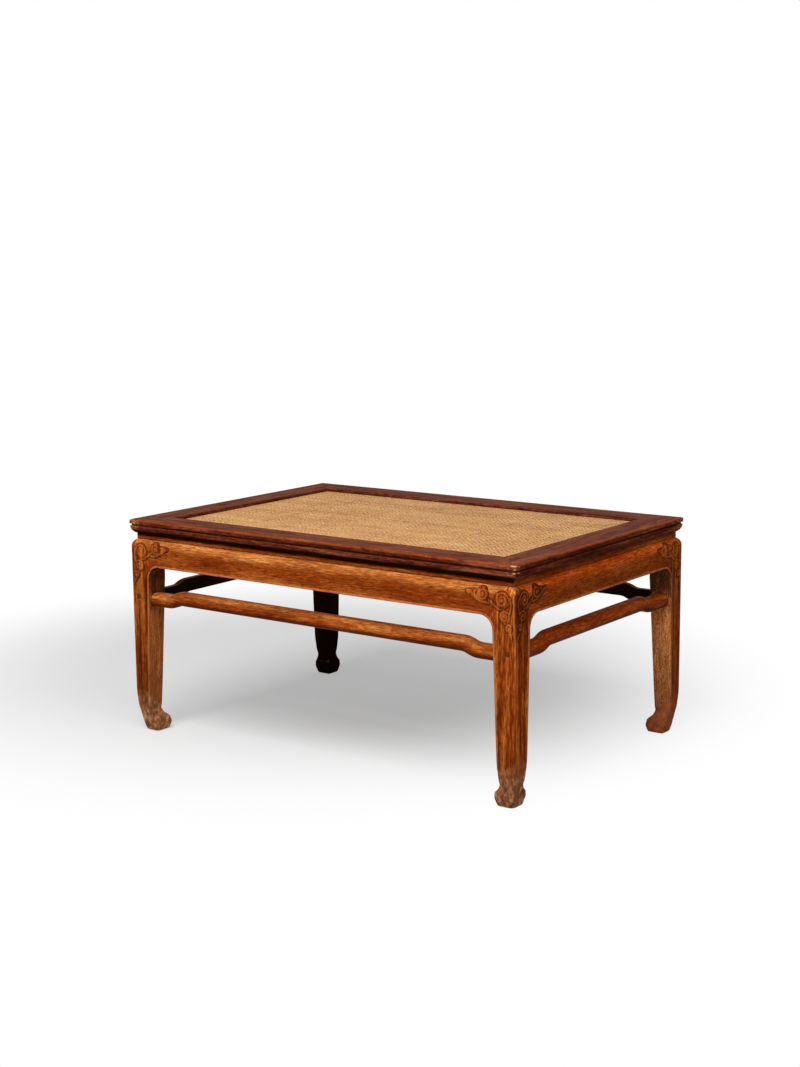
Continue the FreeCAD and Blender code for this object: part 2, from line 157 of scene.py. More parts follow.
def part_of(vector, axis):
    """The part of a place or direction along one axis."""
    return add_on("SeparateXYZ", {0: vector}).outputs[axis]


def share_of(*masks):
    """Masks and plain shares multiplied together."""
    total = masks[0]
    for mask in masks[1:]:
        total = sum_of("MULTIPLY", total, mask)
    return total


def between(value, low, high):
    """Rise smoothly from 0 to 1 as a value passes from low to high."""
    limits = {"Value": value, "From Min": low, "From Max": high}
    return add_on("MapRange", limits, interpolation_type="SMOOTHSTEP").outputs[0]


def off_middle(noise, weight, base):
    """A base value, moved up or down by noise that swings round its middle."""
    return sum_of("MULTIPLY_ADD", sum_of("SUBTRACT", noise, 0.5), weight, base)


print("node helpers ready")

# %% Colours, noise and surfaces
WHITE = (1.0, 1.0, 1.0, 1.0)


def tint(red, green, blue):
    """A colour as a screen shows it (0 to 255), turned into the light it stands for."""
    linear = [((c / 255 + 0.055) / 1.055) ** 2.4 if c > 10 else c / 255 / 12.92 for c in (red, green, blue)]
    return (*linear, 1.0)


def lay_over(share, under, over, way="MIX"):
    """Lay one colour over another, to a share."""
    inputs = {0: share, 6: under, 7: over}
    return add_on("Mix", inputs, data_type="RGBA", blend_type=way, clamp_factor=True).outputs[2]


def stain(under, colour, *masks):
    """Lay a screen colour over another, to the share that the masks leave."""
    return lay_over(share_of(*masks), under, tint(*colour))


def ramp(value, *stops):
    """A colour that runs through stops, each a place from 0 to 1 and a screen colour."""
    node = add_on("ValToRGB", {"Fac": value})
    points = node.color_ramp.elements
    while len(points) < len(stops):
        points.new(1.0)
    for point, (place, *colour) in zip(points, stops):
        point.position = place
        point.color = tint(*colour)
    return node.outputs["Color"]


def soft_noise(place, size, detail=4.0, rough=0.55):
    """Noise whose blots have the given size, in metres, all round or along each axis."""
    scaled = vector_sum("MULTIPLY", place, [1 / s for s in np.broadcast_to(size, 3)])
    inputs = {"Vector": scaled, "Scale": 1.0, "Detail": detail, "Roughness": rough}
    return add_on("TexNoise", inputs).outputs["Fac"]


def bumps(height, strength, depth, **more):
    """The lean of a surface with small bumps, from their height."""
    return add_on("Bump", {"Height": height, "Strength": strength, "Distance": depth, **more}).outputs[0]


def cover(colour, dullness, relief, gloss=0.5, gloss_tint=WHITE):
    """End a tree in one surface."""
    inputs = {"Base Color": colour, "Roughness": dullness, "Normal": relief,
              "Specular IOR Level": gloss, "Specular Tint": gloss_tint}
    add_on("OutputMaterial", {"Surface": add_on("BsdfPrincipled", inputs).outputs[0]})


print("middle grey as light:", round(tint(128, 128, 128)[0], 3))

# %% [markdown]
# ## The hardwood
#
# The frame is a dense, oily rosewood, cut along the tree: its growth rings run the length of each piece, so
# rails carry them along X or Y and legs along Z. An image of wood would smear on the ends and the hoofs.
# Instead the colour is worked out in space: rings lie round a pith beside the piece, long blots of noise
# bend them, and short dark streaks are the pores. A Bevel node finds the arrises, which hands have worn
# pale, and ambient occlusion finds the quirks, which get dark wax and dust together with painted shade.
# The wax itself is warm, so the gloss gets a tint of its own, straight on the shader. It is kept low,
# because dull old wax mirrors little of a white room.

# %% Growth rings
ALONG = {"x": 0, "y": 1, "z": 2}
PITH = {"x": (0.0, 0.30, 0.30), "y": (0.47, 0.0, 0.30), "z": (0.44, 0.275, 0.0)}
RING_SPACING = 0.0042
RING_SWAY = 7.0  # how many rings the noise moves them by
SWAY_SIZE = (0.30, 0.035)  # along the grain and across it


def plank_noise(place, grain, length, width, detail=3.0, rough=0.55):
    """Noise whose blots are long along the grain."""
    size = [width, width, width]
    size[ALONG[grain]] = length
    return soft_noise(place, size, detail, rough)


def growth_rings(place, grain):
    """A saw-tooth of growth rings round the pith, bent by slow noise along the plank."""
    from_pith = vector_sum("SUBTRACT", vector_sum("ABSOLUTE", place), PITH[grain])
    across = vector_sum("MULTIPLY", from_pith, [float(axis != grain) for axis in ALONG])
    radius = vector_sum("LENGTH", across, output="Value")
    sway = plank_noise(place, grain, *SWAY_SIZE, detail=2.0)
    rings = sum_of("MULTIPLY_ADD", radius, 1 / RING_SPACING, share_of(sway, RING_SWAY))
    return sum_of("FRACT", rings)


print("rings in 10 cm:", round(0.1 / RING_SPACING))

# %% Waxed rosewood
BLOT_LENGTH = 0.16
FIBRE_WIDTH = 0.0016
MOTTLE_SIZE = (0.016, 0.006)
PORE_SIZE = (0.014, 0.0011)
SCUFF_SIZE = 0.018
BLOT_WEIGHT, MOTTLE_WEIGHT, FIBRE_WEIGHT, LATE_WOOD_WEIGHT = 1.3, 0.55, 1.1, -0.10
QUIRK_REACH = 0.006
# Dark wax and dust in the quirks, together with painted shade there
GAP_SHADE_AND_DIRT = (34, 12, 5)
DENT_DEPTH = 0.0006
WAX_TINT = (1.0, 0.50, 0.22, 1.0)


def bare_grain(place, grain, tones, streak, fibre, contrast):
    """The wood's own colour, from blots, mottle, fibres, growth rings and open pores."""
    blots = plank_noise(place, grain, BLOT_LENGTH, streak)
    mottle = plank_noise(place, grain, *MOTTLE_SIZE)
    pores = plank_noise(place, grain, *PORE_SIZE, detail=2.0)
    late_wood = between(growth_rings(place, grain), 0.45, 0.97)
    tone = off_middle(blots, BLOT_WEIGHT * contrast, 0.5)
    tone = off_middle(mottle, MOTTLE_WEIGHT * contrast, tone)
    tone = off_middle(fibre, FIBRE_WEIGHT, tone)
    tone = sum_of("MULTIPLY_ADD", late_wood, LATE_WOOD_WEIGHT, tone)
    colour = ramp(tone, (0.02, *tones["deep"]), (0.45, *tones["body"]), (0.90, *tones["pale"]))
    return stain(colour, tones["deep"], between(pores, 0.54, 0.65), 0.7)


def hardwood(name, grain, tones, streak=0.028, fibre_length=0.022, contrast=1.0, dullness=0.48, gloss=0.003,
             soft_arris=0.0025, worn_arris=0.7, touches=()):
    """Waxed rosewood with its grain along one axis, painted shade in its quirks, and this piece's touches.
    """
    finish, tree, place = new_finish(name)
    fibre = plank_noise(place, grain, fibre_length, FIBRE_WIDTH, detail=4.0, rough=0.65)
    colour = bare_grain(place, grain, tones, streak, fibre, contrast)

    rounded = add(tree, "Bevel", {"Radius": soft_arris}, samples=6).outputs[0]
    unrounded = add(tree, "NewGeometry").outputs["Normal"]
    turned = vector_sum("DOT_PRODUCT", rounded, unrounded, output="Value")
    scuffs = soft_noise(place, SCUFF_SIZE, detail=5.0, rough=0.7)
    edge = between(turned, 0.992, 0.90)
    colour = stain(colour, tones["wear"], edge, between(scuffs, 0.34, 0.62), worn_arris)

    # Painted shade: ambient occlusion darkens the quirks, along with their dark wax and dust
    open_sky = add(tree, "AmbientOcclusion", {"Distance": QUIRK_REACH}, samples=6).outputs["AO"]
    gap_shade_and_dirt = sum_of("SUBTRACT", 1.0, between(open_sky, 0.20, 0.80))
    colour = stain(colour, GAP_SHADE_AND_DIRT, gap_shade_and_dirt, 0.85)
    for touch in touches:
        colour = touch(place, grain, colour)

    dents = sum_of("MULTIPLY_ADD", scuffs, 0.6, share_of(fibre, 0.35))
    relief = bumps(dents, 0.5, DENT_DEPTH, Normal=rounded)
    dull = sum_of("MULTIPLY_ADD", gap_shade_and_dirt, 0.3, off_middle(fibre, 0.3, dullness))
    cover(colour, dull, relief, gloss, WAX_TINT)
    return finish


print("pores are", PORE_SIZE, "long and wide")

# %% [markdown]
# ## Touches of use, and painted light and shade
#
# Long use is not spread evenly over a stool, and its marks sit at known places; so do the painted
# highlights and painted shade that stand in for light here. Painting them on by hand would not survive a
# change of size. So each mark is a short function that lays a colour over the wood by height, by distance
# from the outline, or by the way a face looks. Most levels come from imported pieces.

# %% Where a mark sits
BEAD_HEIGHT = 0.0013
INWARD = (-0.12, -0.22)
leg_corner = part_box("leg_back_right")[1]
face_x = leg_corner.x - BEAD_HEIGHT
face_y = leg_corner.y - BEAD_HEIGHT
seat_top = cad_high.z
rail_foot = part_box("seat_rail_front")[0].z
waist_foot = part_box("apron_front")[1].z


def from_level(value, level, band):
    """Rise from 0 to 1 across a band of distances from a level."""
    return between(value, level + band[0], level + band[1])


def height_of(place):
    """Height above the floor."""
    return part_of(place, "Z")


def outside_of(place, half_x, half_y):
    """How far a point lies outside an upright box about the middle, along X and along Y."""
    beyond = vector_sum("SUBTRACT", vector_sum("ABSOLUTE", place), (half_x, half_y, 0.0))
    return part_of(beyond, "X"), part_of(beyond, "Y")


def look_of(place, kind="True Normal"):
    """The direction in which the face at a place looks."""
    return add(place.id_data, "NewGeometry").outputs[kind]


def facing_inward(place):
    """1 on faces that look towards the middle of the stool."""
    outward = vector_sum("MULTIPLY", look_of(place), place)
    least = sum_of("MINIMUM", part_of(outward, "X"), part_of(outward, "Y"))
    return between(least, *INWARD)


def towards_front(place):
    """1 in the front half of the stool."""
    return between(part_of(place, "Y"), 0.10, -0.10)


print("flat faces at", round(face_x, 4), round(face_y, 4), "waist from", round(waist_foot, 4))

# %% [markdown]
# ## Marks on the seat frame
#
# Hands and cloth have rubbed the frame's upper edge to an orange line with pale chips, most of all at the
# corners. Dust and a painted sheen grey its top, and a painted shadow, with some soot, darkens it under its
# moulding. The Bevel node alone would wear all arrises alike, so this line is placed by its distance from
# the frame's outline.

# %% Lip, top and moulding
LIP_RIM = (-0.0038, -0.0010)  # from the outline
LIP_CREST = (-0.0060, -0.0020)  # from the top of the seat
CORNER_REACH = (-0.050, -0.008)  # sum of both distances from the outline
MOULDING_SHADOW_AND_SOOT = (0.0095, 0.0045)  # from the foot of the rail
SHADOW_AND_SOOT_SHARE = {"x": 0.95, "y": 0.40}
RAGGED_EDGE_SIZE = (0.05, 0.01)


def worn_lip(place, grain, colour):
    """A rubbed orange line on the frame's upper edge, with pale chips."""
    beyond_x, beyond_y = outside_of(place, cad_high.x, cad_high.y)
    corner = between(sum_of("ADD", beyond_x, beyond_y), *CORNER_REACH)
    rim = between(sum_of("MAXIMUM", beyond_x, beyond_y), *LIP_RIM)
    crest = from_level(height_of(place), seat_top, LIP_CREST)
    patchy_noise = soft_noise(place, (0.035, 0.035, 0.02))
    colour = stain(colour, (160, 70, 27), rim, crest, between(patchy_noise, 0.25, 0.60), 0.75)
    chips = soft_noise(place, (0.011, 0.011, 0.004), rough=0.7)
    chips = sum_of("MULTIPLY_ADD", corner, 0.13, chips)
    upper = sum_of("MAXIMUM", crest, corner)
    return stain(colour, (214, 148, 92), rim, upper, between(chips, 0.62, 0.72))


def dust_and_sheen_on_top(place, grain, colour):
    """Dust, and a painted sheen of the bright room, which grey the upper faces of the frame."""
    upward = between(part_of(look_of(place), "Z"), 0.9, 0.99)
    cloud = plank_noise(place, grain, 0.08, 0.02, detail=4.0)
    # Grey of dust and painted sheen, on the faces that look up
    return stain(colour, (98, 60, 45), upward, between(cloud, 0.3, 0.7), 0.75)


def ragged_height(place, grain, drift):
    """Height, with a ragged edge, for the painted shadow and soot."""
    noise = plank_noise(place, grain, *RAGGED_EDGE_SIZE)
    return off_middle(noise, drift, height_of(place))


def shadow_and_soot_under_moulding(place, grain, colour):
    """Painted shadow, with some soot, under the frame's moulding; less of it at the short ends."""
    shadow_and_soot = from_level(ragged_height(place, grain, 0.006), rail_foot, MOULDING_SHADOW_AND_SOOT)
    # Painted shadow under the frame's overhang, with some soot: nearly black
    return stain(colour, (26, 7, 3), shadow_and_soot, SHADOW_AND_SOOT_SHARE[grain])


print("lip at", round(seat_top, 4), "soot up to", round(rail_foot + MOULDING_SHADOW_AND_SOOT[0], 4))

# %% [markdown]
# ## Marks on waist, aprons and stretchers
#
# The waist lies back under the frame, and its upper half gets a painted shadow there, with some soot. A
# painted highlight brightens the apron's round shoulder and the upper side of the stretchers, golden along
# the front and redder at the ends, and painted shade darkens the stretchers' lower side. A flat colour
# would hide the grain there, so the highlight multiplies the wood's own colour. Inner faces under the seat
# get painted shade, nearly black, and the end grain of the tenons is dark too.

# %% Waist, shoulder, bead and stretchers
WAIST_SHADOW_AND_SOOT = (-0.0095, -0.0040)  # from the foot of the rail
WAIST_SEAM = (0.0020, 0.0005)  # from the foot of the waist
SHOULDER_BAND = (-0.028, -0.0055)  # from the foot of the waist
BEAD_BAND = (0.0002, 0.0010)  # from the flat faces
TENON_BAND = (-0.004, -0.002)  # from the flat faces
# Painted highlight: how much the light brightens the wood on the shoulder and on top of the stretchers
PAINTED_HIGHLIGHT = {"x": (1.70, 2.80, 4.60, 1.0), "y": (2.10, 1.70, 1.40, 1.0), "z": (1.70, 2.20, 3.00, 1.0)}
END_GRAIN = {"x": ((86, 33, 9), (120, 52, 16)), "y": ((52, 26, 12), (104, 58, 28))}


def shadow_and_soot_on_waist(place, grain, colour):
    """Painted shadow and soot on the waist's upper half, and a dark wax line where it stands on the apron.
    """
    shadow_and_soot = from_level(ragged_height(place, grain, 0.005), rail_foot, WAIST_SHADOW_AND_SOOT)
    seam = from_level(height_of(place), waist_foot, WAIST_SEAM)
    # Painted shadow from the frame's overhang, with soot, and the dark seam of wax
    return stain(colour, (20, 5, 2), sum_of("MAXIMUM", shadow_and_soot, seam), SHADOW_AND_SOOT_SHARE[grain])


def shoulder_highlight(place, grain, colour):
    """A painted highlight along the apron's round shoulder, which multiplies the wood's colour."""
    patchy_noise = soft_noise(place, (0.05, 0.05, 0.006))
    level = off_middle(patchy_noise, 0.008, height_of(place))
    highlight_band = from_level(level, waist_foot, SHOULDER_BAND)
    return lay_over(highlight_band, colour, PAINTED_HIGHLIGHT[grain], way="MULTIPLY")


def bead_wear_and_highlight(place, grain, colour):
    """A pale line along the bead, which stands proud of the faces: wear, and a painted highlight."""
    proud = sum_of("MAXIMUM", *outside_of(place, face_x, face_y))
    patchy_noise = soft_noise(place, 0.012, rough=0.7)
    return stain(colour, (202, 120, 70), between(proud, *BEAD_BAND), between(patchy_noise, 0.25, 0.60), 0.7)


def painted_shade_inside(place, grain, colour):
    """Painted shade on the inner faces under the seat, nearly black."""
    inside_blotches = plank_noise(place, grain, 0.04, 0.004, detail=4.0)
    # Painted shade, nearly black
    black = ramp(inside_blotches, (0.3, 20, 8, 4), (0.75, 46, 22, 12))
    return lay_over(facing_inward(place), colour, black)


def dark_ends(place, grain, colour):
    """End grain of the tenons: red-brown on the legs' short faces, and darker on the long ones."""
    end = (face_x, face_y)[ALONG[grain]]
    along = part_of(vector_sum("ABSOLUTE", place), ALONG[grain])
    pores = soft_noise(place, 0.0015, detail=2.0)
    less, more = END_GRAIN[grain]
    dark = ramp(pores, (0.35, *less), (0.65, *more))
    shown = share_of(from_level(along, end, TENON_BAND), 0.85)
    return lay_over(shown, colour, dark)


def highlight_above_shade_below(place, grain, colour):
    """Painted highlight on the upper side of a stretcher, and painted shade on the lower one."""
    upward = part_of(look_of(place, "Normal"), "Z")
    # Painted highlight on the upper side, then painted shade on the lower side
    highlight_share = share_of(between(upward, -0.3, 0.75), 0.45)
    colour = lay_over(highlight_share, colour, PAINTED_HIGHLIGHT[grain], way="MULTIPLY")
    return stain(colour, (62, 24, 9), between(upward, 0.0, -0.6), 0.75)


print("shoulder rubbed from", round(waist_foot + SHOULDER_BAND[0], 4))

# %% [markdown]
# ## Marks on the legs
#
# Painted shade darkens the front legs at the short ends, towards the top. The legs' inner faces were never
# waxed, and went dry and tan, darker towards the top, up under the seat. The feet stood in damp and lost
# their colour, less so at the back. Each mark could be a material on chosen faces, but its border would
# be hard, so height and noise draw a soft one.

# %% Shaded ends, dry faces and bald feet
END_SHADE_FROM = (0.26, 0.38)
DARKER_FROM = (0.28, 0.36)
DIRTY_BELOW = (0.22, 0.10)
BALD_BELOW = (0.11, 0.035)
BACK_RED_SHARE = 0.6


def shaded_end_faces(place, grain, colour):
    """Painted shade on the upper part of the front legs' end faces."""
    end_shade_noise = soft_noise(place, (0.006, 0.006, 0.05), rough=0.6)
    level = between(off_middle(end_shade_noise, 0.5, height_of(place)), *END_SHADE_FROM)
    end_face = between(sum_of("ABSOLUTE", part_of(look_of(place), "X")), 0.6, 0.8)
    # Painted shade on the front legs' end faces, towards the top
    return stain(colour, (62, 20, 8), end_face, level, towards_front(place), 0.55)


def dry_inside(place, grain, colour):
    """Dry tan wood on the inner faces, most of all to the right, and darker towards the top, under the seat.
    """
    fibre = plank_noise(place, grain, 0.05, 0.0022, detail=4.0, rough=0.65)
    scrapes = plank_noise(place, grain, 0.005, 0.002, rough=0.6)
    scraped = off_middle(scrapes, 1.1, fibre)
    tan = ramp(scraped, (0.25, 116, 54, 24), (0.5, 214, 126, 64), (0.75, 244, 182, 120))
    upper_noise = soft_noise(place, (0.02, 0.02, 0.03))
    darker_above = between(off_middle(upper_noise, 0.20, height_of(place)), *DARKER_FROM)
    tan = stain(tan, (44, 26, 15), darker_above, 0.85)
    rightward = between(part_of(place, "X"), -0.3, 0.3)
    dry = sum_of("MULTIPLY_ADD", rightward, 0.65, 0.35)
    return lay_over(share_of(facing_inward(place), dry), colour, tan)


def bald_feet(place, grain, colour):
    """Feet that have lost their colour, and dirt on the legs above them."""
    patches = soft_noise(place, (0.015, 0.015, 0.05), rough=0.6)
    dirty = between(off_middle(patches, 0.45, height_of(place)), *DIRTY_BELOW)
    colour = stain(colour, (80, 31, 9), dirty, 0.35)
    foot = between(off_middle(patches, 0.10, height_of(place)), *BALD_BELOW)
    wet = soft_noise(place, (0.010, 0.010, 0.018), detail=5.0, rough=0.75)
    grey = ramp(wet, (0.34, 68, 40, 27), (0.50, 142, 91, 62), (0.66, 206, 158, 112))
    red = sum_of("MULTIPLY_ADD", towards_front(place), -BACK_RED_SHARE, BACK_RED_SHARE)
    grey = stain(grey, (180, 78, 48), red)
    return lay_over(share_of(foot, 0.9), colour, grey)


print("feet bald below", BALD_BELOW[0], "and dirty below", DIRTY_BELOW[0])

# %% [markdown]
# ## Dressing the joinery
#
# The rails were finished darker than the legs and aprons, and the braces, keys and pins under the seat are
# plain softwood that was never meant to show. The joinery keeps its exact shape, so it only needs the right
# finish in its material slot; the side of the seat that a piece is on tells which way its grain runs. The
# back left leg, deepest in the shade under the seat, gets painted shade on its inner faces, in a finish of
# its own.

# %% Kinds of timber
BODY_TONES = {"pale": (206, 120, 50), "body": (142, 59, 15), "deep": (54, 15, 4), "wear": (206, 132, 78)}
RAIL_TONES = {"pale": (164, 94, 66), "body": (94, 38, 24), "deep": (36, 10, 6), "wear": (164, 78, 36)}
RAIL_WOOD = dict(tones=RAIL_TONES, streak=0.012, dullness=0.60, gloss=0.006)
LEG_WOOD = dict(tones=BODY_TONES, streak=0.007, fibre_length=0.04, contrast=1.3, soft_arris=0.0045,
                worn_arris=0.25)
HARDWOODS = {
    "seat_rail": dict(RAIL_WOOD, contrast=1.15,
                      touches=(dust_and_sheen_on_top, worn_lip, shadow_and_soot_under_moulding, painted_shade_inside)),
    "mat_strip": dict(RAIL_WOOD, contrast=0.9, touches=(dust_and_sheen_on_top,)),
    "waist": dict(tones=BODY_TONES, contrast=0.6, touches=(shadow_and_soot_on_waist, painted_shade_inside)),
    "apron": dict(tones=BODY_TONES, contrast=0.6, touches=(shoulder_highlight, bead_wear_and_highlight, painted_shade_inside)),
    "stretcher": dict(tones=BODY_TONES, streak=0.02, contrast=0.7, dullness=0.36, gloss=0.008,
                      touches=(highlight_above_shade_below, painted_shade_inside, dark_ends)),
    "leg": dict(LEG_WOOD, touches=(shoulder_highlight, shaded_end_faces, bead_wear_and_highlight, dry_inside, bald_feet)),
    "far_leg": dict(LEG_WOOD, touches=(shoulder_highlight, shaded_end_faces, bead_wear_and_highlight, bald_feet, painted_shade_inside)),
}


def softwood(name, grain):
    """Plain pale timber of the hidden braces, keys and pins, browned by age."""
    finish, _, place = new_finish(name)
    fibre = plank_noise(place, grain, 0.06, 0.0022, detail=4.0, rough=0.6)
    colour = ramp(fibre, (0.3, 92, 62, 40), (0.5, 136, 98, 66), (0.72, 166, 126, 88))
    colour = stain(colour, (70, 44, 28), between(soft_noise(place, 0.05), 0.45, 0.7), 0.5)
    dull = sum_of("MULTIPLY_ADD", fibre, 0.2, 0.6)
    cover(colour, dull, bumps(fibre, 0.5, 0.0005))
    return finish


print("kinds of hardwood:", len(HARDWOODS))

# %% Put the finishes on
SIDE_GRAIN = {"front": "x", "back": "x", "left": "y", "right": "y"}
finishes = {}


def finish_for(name):
    """The finish of a piece of joinery, from its name; pieces that are alike share one."""
    kind, _, side = name.rpartition("_")
    if name.startswith("leg"):
        kind, grain = "far_leg" if name == "leg_back_left" else "leg", "z"
    elif side in SIDE_GRAIN:
        grain = "y" if kind == "mat_brace" else SIDE_GRAIN[side]
    else:
        kind, grain = "fixing", "z"
    key = f"{kind} along {grain}"
    if key not in finishes and kind in HARDWOODS:
        finishes[key] = hardwood("rosewood " + key, grain, **HARDWOODS[kind])
    elif key not in finishes:
        finishes[key] = softwood("softwood " + key, grain)
    return finishes[key]


def dress(piece, finish):
    """Put one finish on a whole piece."""
    piece.data.materials.clear()
    piece.data.materials.append(finish)


for name, piece in nodes.items():
    dress(piece, finish_for(name))
print("dressed:", len(nodes), "with", len(finishes), "finishes")

# %% [markdown]
# ## Worn feet
#
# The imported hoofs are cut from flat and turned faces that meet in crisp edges. On the old stool damp,
# brooms and scraping have rounded all of them. A bevel needs clean edges, and a hoof has few. So each leg
# is copied, its lower end gets a finer mesh, and every point there is drawn towards its neighbours, more so
# near the floor. The middle of each sole stays flat, so the stool stands as before, and above the ankle the
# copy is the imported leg.

# %% Round the feet
WORN_HEIGHT = 0.085
WORN_FADE = 0.035
WORN_STEP = 0.003
WORN_SHARE = 0.5
WORN_PASSES = 20
SAME_POINT = 0.00001
SHARP_EDGE = math.radians(30)


def set_up_piece(mesh, finish):
    """A smooth piece that rides on the stool and wears the given finish."""
    mesh.polygons.foreach_set("use_smooth", [True] * len(mesh.polygons))
    mesh.update()
    piece = bpy.data.objects.new(mesh.name, mesh)
    put_in_scene(piece)
    dress(piece, finish)
    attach(piece, "root")
    return piece


def finer_below(shape, height, step):
    """Cut the mesh below a height into small cells, by level and upright planes."""
    for axis in (2, 0, 1):
        normal = [float(axis == k) for k in range(3)]
        reach = [v.co[axis] for v in shape.verts if v.co.z < height]
        for place in np.arange(min(reach) + step / 2, height if axis == 2 else max(reach), step):
            low = [f for f in shape.faces if max(v.co.z for v in f.verts) < height]
            whole = shape.faces if axis == 2 else low
            edges = {e for f in whole for e in f.edges}
            corners = {v for f in whole for v in f.verts}
            bmesh.ops.bisect_plane(shape, geom=[*corners, *edges, *whole], dist=SAME_POINT / 10,
                                   plane_co=[place * n for n in normal], plane_no=normal)


def drawn_in(points, pairs, share):
    """Points after several moves towards the middle of their neighbours, each by its own share."""
    count = np.bincount(pairs.ravel(), minlength=len(points))[:, None]
    for _ in range(WORN_PASSES):
        total = np.zeros_like(points)
        np.add.at(total, pairs[:, 0], points[pairs[:, 1]])
        np.add.at(total, pairs[:, 1], points[pairs[:, 0]])
        points = points + share[:, None] * (total / count - points)
    return points


def wear_foot(name):
    """A copy of a leg with a worn foot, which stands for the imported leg."""
    shape = bmesh.new()
    shape.from_mesh(nodes[name].data)
    bmesh.ops.remove_doubles(shape, verts=shape.verts, dist=SAME_POINT)
    finer_below(shape, WORN_HEIGHT, WORN_STEP)
    shape.verts.index_update()
    points = np.array([v.co for v in shape.verts])
    pairs = np.array([[v.index for v in e.verts] for e in shape.edges])
    share = WORN_SHARE * np.clip((WORN_HEIGHT - points[:, 2]) / WORN_FADE, 0.0, 1.0)
    worn = drawn_in(points, pairs, share)
    for vertex, place in zip(shape.verts, worn):
        vertex.co = place
    mesh = bpy.data.meshes.new("worn_" + name)
    shape.to_mesh(mesh)
    shape.free()
    leg = set_up_piece(mesh, finish_for(name))
    mesh.set_sharp_from_angle(angle=SHARP_EDGE)
    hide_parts(name)
    return leg, float(np.abs(worn - points).max())


worn_legs = [wear_foot(name) for name in sorted(nodes) if name.startswith("leg_")]
print("worn legs:", [(leg.name, len(leg.data.polygons), round(moved, 4)) for leg, moved in worn_legs])

# %% [markdown]
# ## The floor and the light
#
# A white studio floor runs back without a line to a white wall. A plain white plane would turn grey where
# the light falls off, so for the camera the floor gives off some white of its own: a little behind the
# stool, where it keeps the shadow, and all of it further away. One large soft box hangs high at the front,
# so the front is brighter than the end and the far leg stays dark; a weak one fills in from the right, and
# the sky does the rest.

# %% Floor
FLOOR_HALF = 14.0
FLOOR_LEVEL = -0.0005  # just below the soles, so that the two faces never coincide
FLOOR_OWN_WHITE = 0.40
SHADOW_MIDDLE = (-0.55, 0.30, 0.0)
SHADOW_NEAR, SHADOW_FAR = 0.50, 1.32


def seen_directly(tree):
    """1 for rays from the camera, in a gloss, or through glass."""
    ray = add(tree, "LightPath").outputs
    seen = sum_of("MAXIMUM", ray["Is Camera Ray"], ray["Is Glossy Ray"])
    return sum_of("MAXIMUM", seen, ray["Is Transmission Ray"])


def lay_floor():
    """White floor that keeps the shadow near the stool and turns pure white far away."""
    finish, tree, place = new_finish("studio white")
    away = vector_sum("DISTANCE", place, SHADOW_MIDDLE, output="Value")
    paper = ramp(soft_noise(place, 0.02), (0.3, 217, 217, 217), (0.7, 220, 220, 220))
    matt = add(tree, "BsdfDiffuse", {"Color": paper}).outputs[0]
    bright = add(tree, "Emission", {"Color": WHITE, "Strength": 1.0}).outputs[0]
    fade = between(away, SHADOW_NEAR, SHADOW_FAR)
    own = sum_of("MULTIPLY_ADD", fade, 1 - FLOOR_OWN_WHITE, FLOOR_OWN_WHITE)
    shown = share_of(own, seen_directly(tree))
    mixed = add(tree, "MixShader", {0: shown, 1: matt, 2: bright}).outputs[0]
    add(tree, "OutputMaterial", {"Surface": mixed})
    signs = ((-1, -1), (1, -1), (1, 1), (-1, 1))
    mesh = bpy.data.meshes.new("floor")
    mesh.from_pydata([(x * FLOOR_HALF, y * FLOOR_HALF, FLOOR_LEVEL) for x, y in signs], [], [(0, 1, 2, 3)])
    floor = bpy.data.objects.new("floor", mesh)
    dress(floor, finish)
    put_in_scene(floor)


lay_floor()
print("floor of", 2 * FLOOR_HALF, "metres, at", FLOOR_LEVEL)

# %% Sky and soft boxes
SKY_LEVEL = 0.17
SOFT_BOX_SIZE = 1.8
SOFT_BOX_AIM = Vector((0.0, 0.0, 0.4))
# Soft boxes as (place, watts)
SOFT_BOXES = {"front_soft_box": ((0.15, -2.0, 3.0), 108.0), "fill_soft_box": ((1.7, -0.8, 2.6), 22.0)}


def light_sky():
    """A white surround, bright to look at and softer as a lamp."""
    world = bpy.data.worlds.new("studio")
    world.use_nodes = True
    tree = world.node_tree
    tree.nodes.clear()
    lamp = add(tree, "Background", {"Color": WHITE, "Strength": SKY_LEVEL}).outputs[0]
    wall = add(tree, "Background", {"Color": WHITE, "Strength": 1.0}).outputs[0]
    mixed = add(tree, "MixShader", {0: seen_directly(tree), 1: lamp, 2: wall}).outputs[0]
    add(tree, "OutputWorld", {"Surface": mixed})
    bpy.context.scene.world = world


def hang_soft_box(name, place, watts):
    """A square area lamp at a place, turned to the stool."""
    lamp = bpy.data.objects.new(name, bpy.data.lights.new(name, "AREA"))
    lamp.data.size = SOFT_BOX_SIZE
    lamp.data.energy = watts
    lamp.location = place
    lamp.rotation_mode = "QUATERNION"
    lamp.rotation_quaternion = (Vector(place) - SOFT_BOX_AIM).to_track_quat("Z", "Y")
    put_in_scene(lamp)


light_sky()
for name, (place, watts) in SOFT_BOXES.items():
    hang_soft_box(name, place, watts)

# %% [markdown]
# ## The cane mat
#
# The seat is a mat of split cane, woven as a fine twill: each strip passes over two and under two, and the
# diagonal turns back after a few strips, by eye. A bump map would give the colour of a weave, but not
# its edge under the press strips or its glint at a low angle, so every strip is a real ribbon here, thin
# and slightly domed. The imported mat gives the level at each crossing, with the sag that years of sitting
# have left. The strips of each direction are cut into two pieces, so that no mesh grows too large.

# %% The mat's level
STRIP_PITCH = 0.0034
MAT_DEPTH = 0.003
RAY_START = 1.0  # a distance well outside the stool


def surface_of(*names):
    """A tree for casting rays at pieces of joinery."""
    points, faces = [], []
    for name in names:
        mesh = nodes[name].data
        start = len(points)
        points += [v.co.copy() for v in mesh.vertices]
        faces += [[start + i for i in p.vertices] for p in mesh.polygons]
    return BVHTree.FromPolygons(points, faces)


